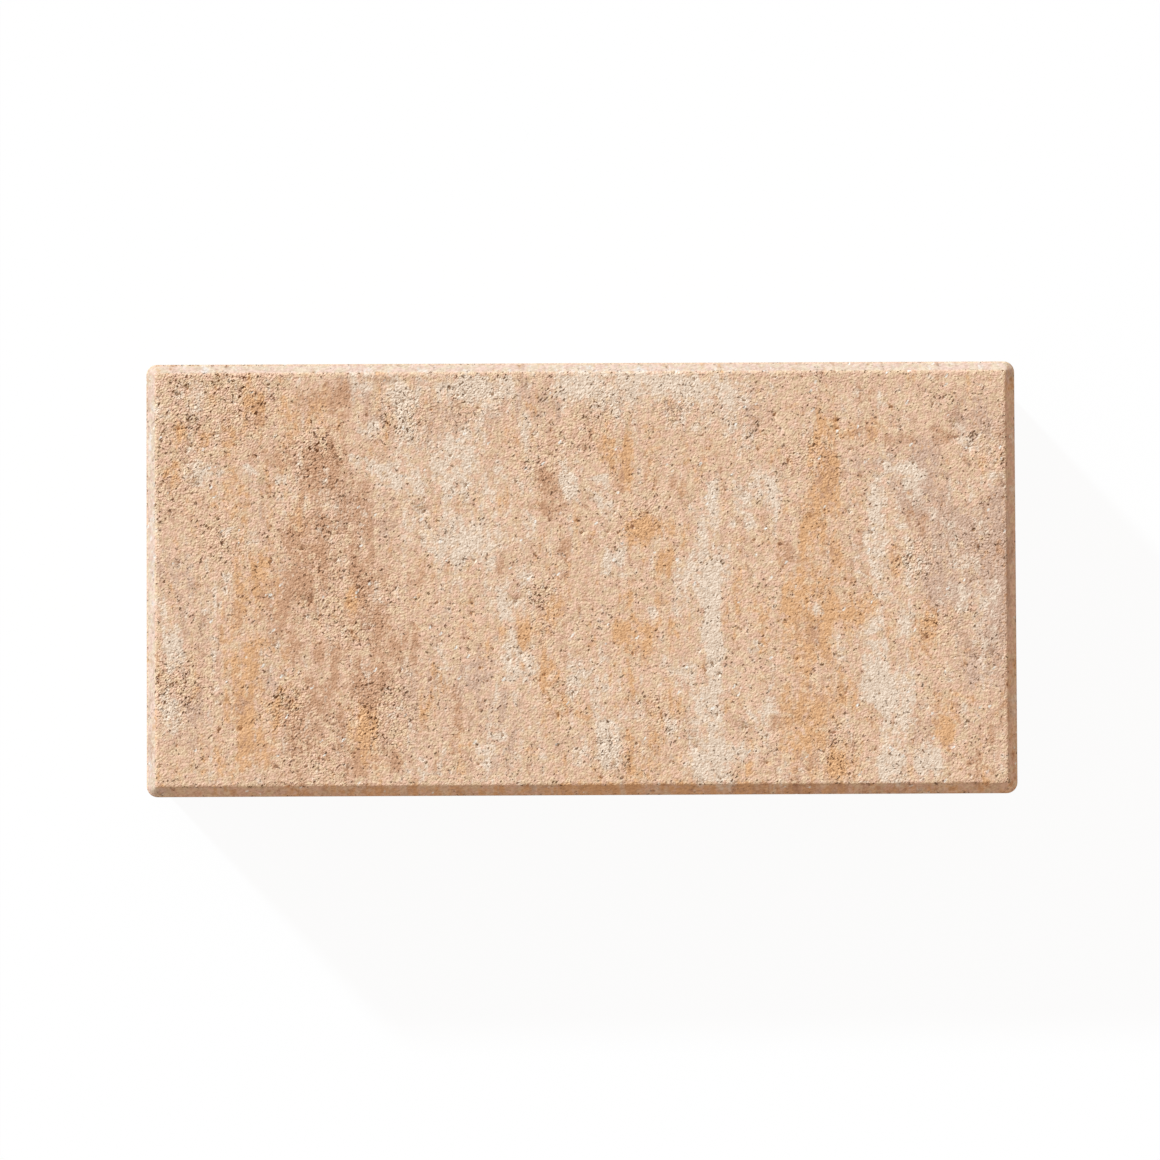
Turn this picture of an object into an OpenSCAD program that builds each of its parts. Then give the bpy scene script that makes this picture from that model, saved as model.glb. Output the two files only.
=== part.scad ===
// Rectangular concrete paving stone, lying on its bedding face.
// It is pressed in one piece: a plain block with upright rounded corners and, all round
// the wearing face, a chamfer that turns each corner as part of a cone.
// The origin is the middle of the bedding face, with the length along X.

/* [Stone] */
// Length, side face to side face
stone_l = 398; // [198:1:598]
// Width, side face to side face
stone_w = 198; // [98:1:398]
// Height, bedding face to wearing face
stone_h = 80; // [40:1:120]
// Radius of the four upright corners
corner_r = 5; // [2:0.5:20]

/* [Chamfered edge] */
// Width of the chamfer, seen from above
chamfer_w = 5; // [3:0.5:10]
// Drop of the chamfer below the wearing face
chamfer_h = 5; // [3:0.5:10]
// Radius of the arris between the wearing face and the chamfer
arris_r = 1; // [0.5:0.25:3]
// Radius of the easing between the chamfer and the side face
easing_r = 2; // [0.5:0.25:3]

/* [Hidden] */
$fn = 96;

stone_colour = [0.84, 0.72, 0.61];

// Slope of the chamfer below level, and how far each rounding reaches from its corner
chamfer_angle = atan2(chamfer_h, chamfer_w);
arris_reach = arris_r * tan(chamfer_angle / 2);
easing_reach = easing_r * tan((90 - chamfer_angle) / 2);

// Distance of the corners' upright axes from the middle, along X and along Y
corner_axis_x = stone_l / 2 - corner_r;
corner_axis_y = stone_w / 2 - corner_r;

// Outward direction of the chamfer, in a section with X outwards and Y up
chamfer_normal = [sin(chamfer_angle), cos(chamfer_angle)];

// Centre of the easing and of the arris, for a side face that stands at x = side
function easing_centre(side) = [side - easing_r, stone_h - chamfer_h - easing_reach];
function arris_centre(side) = [side - chamfer_w - arris_reach, stone_h - arris_r];

// Half of the section across one side face, from x = 0 out to that face.
// The outline is straight from touching point to touching point, and the two circles
// fill it out to true arcs.
module half_section(side) {
    easing = easing_centre(side);
    arris = arris_centre(side);
    polygon([
        [0, 0],
        [side, 0],
        [side, easing.y],
        easing + easing_r * chamfer_normal,
        arris + arris_r * chamfer_normal,
        [arris.x, stone_h],
        [0, stone_h]
    ]);
    translate(easing)
        circle(r = easing_r);
    translate(arris)
        circle(r = arris_r);
}

// Section from one side face to the one opposite
module full_section(width) {
    half_section(width / 2);
    mirror([1, 0])
        half_section(width / 2);
}

// Bar of the full section, as long as reach, along X
module bar_along_x(width, reach) {
    rotate([90, 0, 90])
        linear_extrude(height = reach, center = true)
            full_section(width);
}

// The section turned about a corner's axis: a cylinder below and a cone round the chamfer.
// Only the part of the section outside the axis is turned, so that a chamfer wider than
// the corner radius still works.
module corner_turn() {
    rotate_extrude()
        intersection() {
            translate([-corner_axis_x, 0])
                half_section(stone_l / 2);
            square([corner_r, stone_h]);
        }
}

// Everything that the rounded corners leave: a cross between the axes, and the four turns
module corner_limits() {
    translate([-corner_axis_x, -stone_w / 2, 0])
        cube([2 * corner_axis_x, stone_w, stone_h]);
    translate([-stone_l / 2, -corner_axis_y, 0])
        cube([stone_l, 2 * corner_axis_y, stone_h]);
    for (x = [-corner_axis_x, corner_axis_x], y = [-corner_axis_y, corner_axis_y])
        translate([x, y, 0])
            corner_turn();
}

module paving_stone() {
    color(stone_colour)
        intersection() {
            bar_along_x(stone_w, stone_l);
            rotate([0, 0, 90])
                bar_along_x(stone_l, stone_w);
            corner_limits();
        }
}

paving_stone();
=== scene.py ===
"""Looks of the concrete paving stone: pitted pressed faces, flamed pigment, studio and camera."""

import math
from collections import namedtuple

import bmesh
import bpy
import numpy as np
from bpy.props import FloatProperty, FloatVectorProperty, IntProperty, PointerProperty
from mathutils import Matrix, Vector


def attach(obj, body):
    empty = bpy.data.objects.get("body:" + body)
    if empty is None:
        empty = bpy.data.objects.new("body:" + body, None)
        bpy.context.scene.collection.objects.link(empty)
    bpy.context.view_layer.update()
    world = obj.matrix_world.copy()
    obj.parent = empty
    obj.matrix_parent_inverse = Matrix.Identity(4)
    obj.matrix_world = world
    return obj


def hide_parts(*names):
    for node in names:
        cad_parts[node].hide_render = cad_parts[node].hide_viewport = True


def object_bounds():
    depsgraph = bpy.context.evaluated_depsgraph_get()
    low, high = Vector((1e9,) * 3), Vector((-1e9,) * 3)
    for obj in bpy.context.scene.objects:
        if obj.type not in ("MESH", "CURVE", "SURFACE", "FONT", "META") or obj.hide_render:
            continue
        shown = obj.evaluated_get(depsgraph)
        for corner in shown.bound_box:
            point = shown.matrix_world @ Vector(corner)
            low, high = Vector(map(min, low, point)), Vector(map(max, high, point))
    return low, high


bl_info = {
    "name": "Concrete paving stone",
    "version": (1, 0, 0),
    "blender": (4, 5, 0),
    "location": "3D View > Sidebar > Paving",
    "description": "Dresses the packed paving stone as pressed, pitted and flamed concrete",
    "category": "Object",
}

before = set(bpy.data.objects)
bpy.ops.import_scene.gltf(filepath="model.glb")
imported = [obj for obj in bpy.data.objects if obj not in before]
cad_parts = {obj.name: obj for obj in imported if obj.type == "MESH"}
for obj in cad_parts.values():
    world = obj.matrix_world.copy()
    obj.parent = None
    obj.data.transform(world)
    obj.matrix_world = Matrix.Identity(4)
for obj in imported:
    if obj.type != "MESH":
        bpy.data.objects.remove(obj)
CAD_LOW, CAD_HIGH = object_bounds()

MM = 0.001
NODE = "paving_stone"
BODY = "root"

# The stone's sizes, from the frame, and the chamfer and corner radius of the frame's solid
HALF_LENGTH = CAD_HIGH.x
HALF_WIDTH = CAD_HIGH.y
HEIGHT = CAD_HIGH.z
CHAMFER = 5 * MM
CORNER = 5 * MM

# The pressed mesh starts this far inside the plain block, so that it stays in the block's box
INSET = 0.02 * MM
# Roughness of the arris, how much less rough a chamfer is than the face, and a value below
# nothing for the sides, so that no pore opens there
ARRIS_ROUGHNESS = 0.06
CHAMFER_CALM = 0.85
SIDE_ROUGHNESS = -0.08
# Turn of the finer grains, which all lean one way
GRAIN_LEAN = -math.radians(45)
# Depth of a fleck where a fine grain is missing, and height of the fine drag marks on the sides
FLECK_DEPTH = 0.4 * MM
DRAG_HEIGHT = 0.3 * MM

WHITE = (1.0, 1.0, 1.0, 1.0)
# Factors on red, green and blue. Between the pits of rough parts: lighter, as painted light that makes
# up for the shade of their deeper relief, and a little warmer.
# On the chamfers, painted light: a cooler, greyer copy for the far and left chamfers, which face the key
# lamp, and a slightly cooler one for the near and right chamfers, in its shade
ROUGH_WARMTH_AND_PAINTED_LIGHT = (1.16, 1.13, 1.09, 1.0)
LIT_CHAMFER_PAINT = (0.88, 0.955, 1.07, 1.0)
SHADED_CHAMFER_PAINT = (1.0, 0.995, 1.02, 1.0)
# The darkest and the palest sand grain against the plain colour, in red, green and blue
GRAIN_SPANS = ((0.88, 1.12), (0.855, 1.145), (0.83, 1.17))
# Where a flame and a rough zone start to fade and where they have gone, in shares of their reach
FLAME_FADE = (0.35, 1.25)
ZONE_FADE = (0.3, 1.15)
# How far out, in millimetres, the painted light of the chamfers that face the key lamp sets in and where
# it is full
LIT_CHAMFER_FADE = (85, 93)

# Half the floor's side in metres, and the share of light that it throws back
FLOOR_REACH = 20.0
FLOOR_BOUNCE = 0.4
# Width of the camera's sensor in millimetres, and how far the camera sees in metres
SENSOR_WIDTH = 36
SIGHT = 100


def patches(kind, *rows):
    """One patch of this kind for each row of numbers."""
    return tuple(kind(*row) for row in rows)


# A patch of pigment on the wearing face: middle and half sizes in millimetres, with X along
# the stone and Y across it. The face was filled across, so most patches are long in Y.
Flame = namedtuple("Flame", "x y half_x half_y amount")

OCHRE_FLAMES = patches(
    Flame,
    (-152, -20, 12, 60, 0.45), (-154, -48, 7, 16, 0.3), (-168, -85, 7, 16, 0.55),
    (-148, -80, 10, 12, 0.6), (-140, -66, 15, 11, 0.25), (-130, -40, 10, 24, 0.2),
    (-100, -80, 8, 14, 0.6), (-86, -84, 5, 8, 0.3), (-104, -10, 5, 9, 0.55), (-138, 0, 11, 12, 0.4),
    (-142, 4, 8, 10, 0.2), (-142, 42, 13, 14, 0.25), (-164, 42, 9, 9, 0.4), (-181, 66, 9, 8, 0.55),
    (-152, 72, 14, 12, 0.35), (-128, 76, 14, 16, 0.4), (-118, 84, 12, 8, 0.35),
    (-172, 0, 5, 22, 0.25), (-64, -54, 6, 12, 0.48), (-57, -64, 5, 9, 0.35),
    (-60, -84, 8, 12, 0.35), (-98, -62, 6, 16, 0.5), (-36, 38, 3, 6, 0.5), (-38, 19, 3, 5, 0.35),
    (-22, 33, 7, 5, 0.25), (-22, 62, 4, 8, 0.45), (-14, -18, 6, 14, 0.5), (-18, -40, 8, 13, 0.6),
    (-8, -60, 9, 8, 0.45), (2, -62, 6, 6, 0.3), (-12, 10, 7, 13, 0.6), (24, 74, 6, 12, 0.45),
    (19, 58, 9, 10, 0.55), (33, 23, 11, 7, 1.0), (37, 8, 6, 9, 0.7), (22, -9, 6, 8, 0.45),
    (16, -25, 6, 5, 0.6), (28, -27, 12, 12, 0.5), (42, -24, 5, 7, 0.35), (20, -49, 9, 14, 0.4),
    (42, 46, 8, 8, 0.4), (47, 30, 6, 10, 0.4), (48, -57, 4, 9, 0.35), (38, -72, 6, 9, 0.3),
    (24, -75, 5, 8, 0.3), (23, -88, 7, 8, 0.5), (34, -88, 7, 8, 0.3), (63, 90, 5, 12, 0.6),
    (110, 62, 9, 20, 0.6), (113, 47, 7, 12, 0.85), (103, 28, 6, 16, 0.65), (111, 36, 9, 13, 0.35),
    (116, 22, 6, 20, 0.5), (107, -5, 14, 30, 0.45), (92, -14, 8, 14, 0.45),
    (112, -24, 10, 16, 0.45), (100, -36, 11, 12, 0.35), (102, -60, 13, 18, 0.6),
    (116, -58, 7, 22, 0.5), (108, -82, 16, 12, 0.55), (94, -80, 7, 10, 0.35), (75, -90, 7, 6, 0.35),
    (74, 1, 7, 10, 0.3), (72, -48, 6, 14, 0.2), (90, 16, 5, 9, 0.3), (89, 58, 5, 6, 0.3),
    (126, -14, 5, 14, 0.5), (126, -48, 4, 20, 0.3), (132, 67, 14, 6, 0.6), (143, 78, 4, 8, 0.2),
    (143, 6, 3, 14, 0.5), (142, -13, 5, 6, 0.3), (158, -27, 7, 12, 0.5), (166, -68, 6, 8, 1.0),
    (168, -56, 6, 7, 0.4), (182, -90, 8, 7, 0.4), (180, 28, 6, 9, 0.3), (-129, 30, 7, 14, 0.5),
    (-24, -22, 8, 10, 0.2), (25, 22, 6, 7, 0.8), (40, -62, 8, 8, 0.3), (119, -86, 8, 8, 0.6),
    (20, 45, 10, 7, 0.5), (83, -30, 5, 7, 0.5), (88, -60, 6, 14, 0.5), (-152, -70, 7, 16, 0.25),
    # The long strips at y -97 and x 196 lie on the near and right chamfers, which face away from the key
    # lamp: painted shade that deepens their colour
    (-30, -28, 6, 9, 0.7), (-66, -38, 5, 9, 0.5), (20, -97, 190, 4, 0.6), (196, -62, 4, 34, 0.4),
    (-150, 83, 8, 8, 0.5), (-176, 83, 8, 7, 0.35), (-166, 64, 8, 8, 0.35), (-187, 50, 7, 7, 0.4),
    (-144, -31, 12, 6, 0.5), (-140, -14, 8, 7, 0.35), (-158, -60, 7, 9, 0.6),
    (30, -76, 12, 10, 0.3), (116, -38, 6, 8, 0.45), (-124, 40, 6, 6, 0.35),
    (132, -20, 14, 60, 0.15),
)
UMBER_FLAMES = patches(
    Flame,
    (-113, 30, 22, 52, 0.34), (-118, 51, 8, 13, 0.7), (-98, 20, 7, 26, 0.2), (-95, -4, 8, 16, 0.4),
    (-122, 14, 6, 26, 0.2), (-136, 6, 8, 14, 0.4), (-142, 58, 12, 9, 0.5), (-120, 84, 16, 8, 0.5),
    (-152, 76, 10, 8, 0.25), (-126, -12, 7, 10, 0.4), (-104, -18, 10, 6, 0.3),
    (-92, -36, 8, 42, 0.52), (-112, -32, 10, 9, 0.35), (-118, -48, 15, 12, 0.35),
    (-122, -66, 22, 20, 0.45), (-104, -82, 13, 12, 0.35), (-137, -78, 10, 10, 0.3),
    (-76, 0, 6, 8, 0.45), (-14, 46, 6, 7, 0.8), (-13, 34, 8, 8, 0.85), (-12, 60, 4, 8, 0.25),
    (-10, 10, 4, 13, 0.9), (-34, 8, 6, 7, 0.3), (4, 64, 8, 8, 0.3), (112, 50, 6, 10, 0.4),
    (114, 12, 7, 8, 0.4), (130, 67, 10, 5, 0.5), (165, 65, 7, 7, 0.6), (155, -68, 7, 8, 0.4),
    (156, 24, 5, 9, 0.5), (162, -30, 8, 8, 0.25), (192, -36, 5, 16, 0.3), (188, -66, 7, 10, 0.45),
    (180, -86, 8, 7, 0.6), (193, 0, 4, 24, 0.4), (-138, -14, 10, 14, 0.55), (-79, -32, 7, 12, 0.55),
    (-116, -33, 12, 7, 0.3), (-151, -72, 6, 16, 0.3), (-155, -58, 6, 7, 0.6),
    (-67, -86, 6, 8, 0.65), (-56, -62, 6, 9, 0.6), (-72, -66, 4, 5, 0.65), (-86, -84, 6, 6, 0.75),
    (87, -60, 5, 13, 0.5), (104, -83, 9, 5, 0.6), (105, -53, 5, 5, 0.65), (91, 11, 7, 9, 0.55),
    (112, 43, 7, 9, 0.45), (40, 44, 9, 5, 0.6), (145, 63, 9, 5, 0.6), (-134, 18, 7, 6, 0.6),
    (129, 18, 6, 8, 0.45), (-133, 2, 7, 6, 0.35), (-99, -46, 7, 13, 0.45), (-127, -1, 5, 7, 0.55),
    (-128, -90, 12, 5, 0.35), (-103, -88, 7, 5, 0.3), (-165, -43, 5, 6, 0.3),
    (-160, 14, 8, 5, 0.25), (105, -27, 5, 6, 0.55), (115, -7, 5, 6, 0.3), (118, 61, 6, 5, 0.35),
    # The strips at x 197 and y -97 lie on the right and near chamfers, which face away from the key
    # lamp: painted shade that deepens their colour
    (126, 84, 18, 6, 0.3), (176, 54, 5, 7, 0.6), (197, -66, 4, 34, 0.35), (110, -97, 60, 4, 0.3),
    (-107, 78, 9, 12, 0.3), (-119, 25, 9, 5, 0.35), (-158, -19, 14, 6, 0.35),
    (-134, -31, 12, 8, 0.4), (-60, -80, 5, 7, 0.35), (16, 42, 7, 7, 0.3), (9, 14, 7, 6, 0.3),
    (123, -39, 6, 12, 0.4), (36, -80, 5, 5, 0.4), (170, -60, 7, 7, 0.3), (126, 0, 6, 9, 0.3),
    (-151, -34, 5, 5, 0.35), (-105, 10, 38, 80, 0.08),
)
MAUVE_FLAMES = patches(
    Flame,
    (-72, -54, 18, 32, 0.3), (-48, -43, 10, 14, 0.6), (-36, -60, 7, 14, 0.5),
    (-50, -62, 10, 12, 0.35), (-34, -74, 6, 9, 0.5), (-179, -16, 8, 44, 0.3),
    (-178, -62, 10, 16, 0.35), (-28, 84, 8, 8, 0.3), (-120, -58, 16, 24, 0.35),
    (-92, -40, 6, 20, 0.2), (160, 20, 16, 36, 0.35), (189, 2, 8, 46, 0.6), (180, -42, 8, 16, 0.45),
    (151, -73, 5, 6, 0.5), (150, 38, 5, 12, 0.3), (-95, -5, 9, 20, 0.35), (-108, 32, 9, 14, 0.6),
    (-122, 54, 8, 10, 0.35), (-142, -49, 8, 9, 0.5), (152, 46, 18, 20, 0.45),
    (174, 0, 20, 36, 0.35), (176, -45, 8, 12, 0.3), (180, 70, 14, 20, 0.5), (158, -68, 7, 10, 0.45),
    (-96, 80, 24, 14, 0.15), (-64, 70, 10, 14, 0.45), (-24, 76, 16, 13, 0.15),
    (74, 73, 14, 14, 0.45), (-90, 26, 8, 20, 0.45), (-184, 0, 7, 18, 0.25), (157, 24, 5, 8, 0.35),
    (176, 50, 5, 8, 0.35), (-10, 84, 120, 14, 0.15), (146, -36, 7, 14, 0.4), (-90, 66, 9, 12, 0.4),
    (-46, 70, 9, 14, 0.35), (42, 78, 8, 7, 0.35), (-10, 75, 7, 7, 0.3), (-104, 88, 14, 8, 0.4),
    (-147, 28, 7, 12, 0.45), (-191, 6, 5, 10, 0.4), (-68, -15, 20, 5, 0.4), (-143, -72, 7, 7, 0.35),
    (-106, -70, 6, 12, 0.3), (-38, -86, 10, 6, 0.4), (99, 3, 6, 10, 0.35), (131, 53, 14, 5, 0.5),
    (157, 60, 6, 8, 0.5), (176, 16, 7, 18, 0.5), (170, -8, 12, 6, 0.45), (155, -4, 6, 6, 0.3),
    (-177, -60, 6, 7, 0.3), (191, -10, 6, 85, 0.45),
)
CREAM_FLAMES = patches(
    Flame,
    (-163, -5, 4, 16, 0.6), (-166, -32, 4, 12, 0.4), (-160, 23, 3, 3, 1.0), (-170, 48, 10, 6, 0.45),
    (-150, 48, 7, 5, 0.25), (-178, 76, 6, 7, 0.25), (-188, -12, 6, 26, 0.35),
    (-186, -33, 7, 14, 0.85), (-190, -62, 6, 12, 0.35), (-140, -30, 6, 5, 0.25),
    (-97, 52, 6, 5, 1.2), (-95, 68, 4, 5, 1.2), (-100, 91, 12, 6, 0.35), (-82, 86, 10, 9, 0.35),
    (-72, 64, 16, 8, 0.3), (-80, 46, 14, 9, 0.5), (-77, 24, 8, 14, 0.4), (-58, 18, 11, 14, 0.8),
    (-55, 48, 13, 22, 0.6), (-44, 12, 8, 14, 0.5), (-38, 40, 12, 24, 0.35), (-46, 70, 16, 10, 0.3),
    (-56, 86, 20, 8, 0.55), (-25, 69, 6, 12, 0.55), (-25, 22, 6, 9, 0.45), (-26, 3, 8, 6, 0.4),
    (-68, -12, 10, 8, 0.25), (-62, 2, 8, 12, 0.4), (-42, -8, 12, 10, 0.45), (-32, -15, 12, 6, 0.6),
    (-32, -34, 8, 14, 0.6), (-28, -48, 5, 8, 0.4), (-66, -40, 4, 12, 0.45), (-78, -80, 3, 14, 0.65),
    (-44, -78, 6, 10, 0.55), (-22, -72, 6, 16, 0.35), (-5, 43, 4, 6, 1.1), (-1, 38, 4, 5, 0.8),
    (9, 42, 4, 10, 0.85), (13, 30, 5, 8, 0.5), (-2, 88, 14, 9, 0.5), (-3, 12, 5, 6, 0.5),
    (19, 9, 4, 10, 0.9), (-4, 24, 7, 8, 0.35), (4, -24, 6, 14, 0.35), (-2, -44, 6, 9, 0.65),
    (11, -50, 6, 20, 0.5), (8, -80, 12, 11, 0.7), (-8, -82, 8, 10, 0.35), (28, -62, 7, 6, 0.5),
    (35, -16, 7, 4, 0.75), (30, 6, 5, 6, 0.35), (40, -45, 6, 12, 0.65), (28, 90, 16, 7, 0.55),
    (48, 87, 14, 9, 0.55), (50, 70, 12, 9, 0.5), (46, 4, 7, 12, 0.5), (45, -12, 5, 12, 0.5),
    (60, 34, 4, 14, 0.8), (60, -20, 4, 34, 0.85), (55, 0, 7, 36, 0.45), (58, -60, 8, 22, 0.6),
    (57, -84, 12, 14, 0.65), (80, -66, 6, 12, 0.35), (66, 80, 5, 16, 0.55), (74, 62, 9, 12, 0.45),
    (86, 47, 5, 6, 0.5), (78, 40, 12, 10, 0.45), (84, 18, 5, 12, 0.45), (72, 26, 8, 6, 0.6),
    (90, 34, 6, 9, 0.45), (100, 70, 4, 6, 0.25), (106, -15, 8, 3, 0.5), (68, -8, 5, 16, 0.35),
    (135, 35, 5, 14, 0.85), (146, 50, 9, 4, 0.7), (135, 12, 4, 18, 0.75), (135, -20, 4, 22, 0.8),
    (136, -50, 8, 14, 1.0), (142, -62, 8, 20, 0.7), (138, 80, 4, 4, 0.8), (142, -86, 11, 10, 0.9),
    (151, 38, 4, 16, 0.7), (145, 26, 4, 7, 0.3), (149, 2, 4, 16, 0.5), (149, -28, 3, 18, 0.6),
    (154, -53, 6, 8, 0.55), (168, 21, 4, 14, 0.55), (172, 40, 8, 6, 0.35), (177, 6, 7, 6, 0.6),
    (180, 60, 10, 7, 0.45), (186, 46, 7, 5, 0.55), (182, 86, 8, 5, 0.5), (172, 74, 5, 6, 0.3),
    (170, -10, 9, 12, 0.4), (168, -44, 6, 6, 0.25), (176, -62, 5, 8, 0.35), (159, -83, 9, 8, 0.7),
    (-42, 88, 20, 7, 0.35), (-27, 42, 6, 8, 0.35), (12, 76, 10, 12, 0.35), (48, 88, 9, 7, 0.3),
    (75, 84, 5, 8, 0.35), (-84, 74, 12, 14, 0.45), (-186, -56, 7, 9, 0.3), (-42, -28, 5, 6, 0.3),
    (-25, -36, 6, 10, 0.3), (-38, -70, 5, 6, 0.55), (-4, -52, 6, 8, 0.3), (11, -68, 8, 7, 0.45),
    (42, -66, 6, 7, 0.35), (48, -88, 8, 6, 0.35), (75, -80, 11, 5, 0.45), (78, -62, 4, 7, 0.25),
    (-108, 6, 7, 8, 0.2), (-178, 86, 12, 8, 0.35), (-176, 46, 6, 6, 0.3), (60, 46, 5, 6, 0.35),
    (185, 22, 4, 8, 0.5), (150, 46, 5, 7, 0.45), (-5, 86, 110, 12, 0.15), (-194, 80, 4, 4, 0.4),
    (-152, 50, 3, 3, 1.0), (-138, 46, 3, 3, 1.0), (-123, -16, 3, 3, 1.1), (80, -31, 3, 3, 0.8),
    (184, -8, 5, 8, 0.45), (184, -28, 6, 10, 0.45), (190, 58, 4, 9, 0.45), (160, 34, 5, 7, 0.3),
    (123, 33, 4, 5, 0.35), (-22, -38, 6, 7, 0.3), (-22, -4, 5, 8, 0.25), (-110, 11, 7, 5, 0.25),
    (128, -54, 5, 5, 0.35), (60, -22, 4, 58, 0.2), (148, 5, 4, 45, 0.2),
)

# A part of the wearing face where the fine grain was scarce and pores stand close together:
# middle and reach in millimetres, and how much it adds to the chance of a pore
RoughZone = namedtuple("RoughZone", "x y reach chance")

ROUGH_ZONES = patches(
    RoughZone,
    (-172, 80, 34, 0.32), (-150, 84, 22, 0.22), (-80, 76, 15, 0.3), (-122, 58, 16, 0.45),
    (-187, 42, 18, 0.22), (-165, 18, 16, 0.3), (-185, -50, 18, 0.35), (-120, 25, 26, 0.22),
    (-105, -12, 30, 0.22), (-134, -58, 14, 0.45), (-92, -60, 22, 0.35), (-120, -82, 18, 0.25),
    (-48, 84, 22, 0.15), (-16, 55, 20, 0.18), (8, 75, 18, 0.2), (44, 79, 14, 0.2),
    (76, 66, 16, 0.1), (104, 56, 14, 0.3), (28, 30, 14, 0.2), (-18, -8, 9, 0.4),
    (-22, -26, 13, 0.14), (-8, -52, 12, 0.14), (36, -62, 12, 0.18), (10, -78, 12, 0.15),
    (155, 9, 12, 0.35), (184, 14, 16, 0.18), (188, 60, 14, 0.18), (165, -20, 12, 0.22),
    (118, -80, 14, 0.22), (188, -30, 14, 0.12),
)


def linear(colour):
    """A colour as it looks on a screen, turned into the linear one that shaders take."""
    steps = [c / 12.92 if c <= 0.04045 else ((c + 0.055) / 1.055) ** 2.4 for c in colour]
    return (*steps, 1.0)


def shade(name, default, description):
    """A colour property, held as it looks on a screen."""
    return FloatVectorProperty(
        name=name, description=description, default=default, subtype="COLOR_GAMMA", size=3,
        min=0, max=1,
    )


def length(name, default, description, least=0.0):
    """A length's property, from millimetres."""
    return FloatProperty(
        name=name, description=description, default=default * MM, min=least * MM, unit="LENGTH",
    )


def angle(name, default, description):
    """An angle's property, from degrees."""
    return FloatProperty(
        name=name, description=description, default=math.radians(default), subtype="ANGLE",
    )


def portion(name, default, description):
    """The property of a share of something, from 0 to 1."""
    return FloatProperty(
        name=name, description=description, default=default, min=0, max=1, subtype="FACTOR",
    )


class ReliefSettings(bpy.types.PropertyGroup):
    """Sizes of the stone's relief."""

    cell: length("Cell", 0.45, "Spacing of the fine mesh that the pores are pressed into", 0.3)
    quick_cell: length("Quick cell", 1.0, "Spacing of the mesh for a quick look", 0.5)
    triangles: IntProperty(
        name="Triangles", description="Triangles that the finished stone keeps",
        default=190000, min=20000, max=199000,
    )
    pore_density: FloatProperty(
        name="Pore density", description="Places for a pore on each square metre",
        default=60000, min=0,
    )
    pore_least: length("Smallest pore", 0.5, "Radius of the smallest pores", 0.1)
    pore_most: length("Largest pore", 0.95, "Radius of the largest pores", 0.2)
    pore_chance: portion("Pore chance", 0.02, "Share of the places on an even face that hold a pore")
    pore_steepness: FloatProperty(
        name="Pore steepness", description="Depth of a pore against its radius",
        default=0.8, min=0, max=2,
    )
    crevice_size: length("Crevice size", 3.2, "Size of the crevices between clumps of sand", 0.5)
    crevice_depth: length("Crevice depth", 0.7, "Depth of the crevices between clumps of sand")
    drag: length("Drag marks", 0.15, "Depth of the upright marks that the mould leaves on the sides")
    crumble: length("Crumble", 0.6, "Depth to which the lower edges have crumbled")
    seed: IntProperty(name="Seed", description="Changes where the pores lie", default=11, min=0)


class ConcreteSettings(bpy.types.PropertyGroup):
    """Colours of the concrete and grain sizes of its sand."""

    sand: shade("Sand", (0.887, 0.766, 0.633), "Colour of the plain concrete")
    blush: shade("Blush", (0.893, 0.737, 0.633), "Colour of the pinkish sand in it")
    ochre: shade("Ochre", (0.872, 0.682, 0.505), "Colour of the ochre pigment")
    umber: shade("Umber", (0.795, 0.622, 0.495), "Colour of the brown pigment")
    mauve: shade("Mauve", (0.815, 0.690, 0.605), "Colour of the greyish pink pigment")
    cream: shade("Cream", (0.908, 0.823, 0.738), "Colour of the whitish pigment")
    pebble: shade("Pebble", (0.930, 0.890, 0.840), "Colour of the pale grains")
    # Painted shade: the brown that darkens the pores, gaps, pits and flecks
    pore_shade_brown: shade("Pore", (0.480, 0.340, 0.165), "Brown that darkens the bottom of the pores")
    grain: length("Grain", 1.0, "Size of the sand grains", 0.2)
    grain_height: length("Grain height", 0.42, "How far the sand grains stand out")
    gap_size: length("Gap size", 1.7, "Size of the small gaps between the grains", 0.2)
    gap_depth: length("Gap depth", 0.6, "Depth of the small gaps between the grains")
    fleck_size: length("Fleck size", 0.75, "Size of the finest grains and of the flecks they leave", 0.2)
    pit_size: length("Pit size", 1.35, "Size of the coarser grains and of the pits they leave", 0.5)
    pit_depth: length("Pit depth", 1.0, "Depth of the pits in rough parts")


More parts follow.
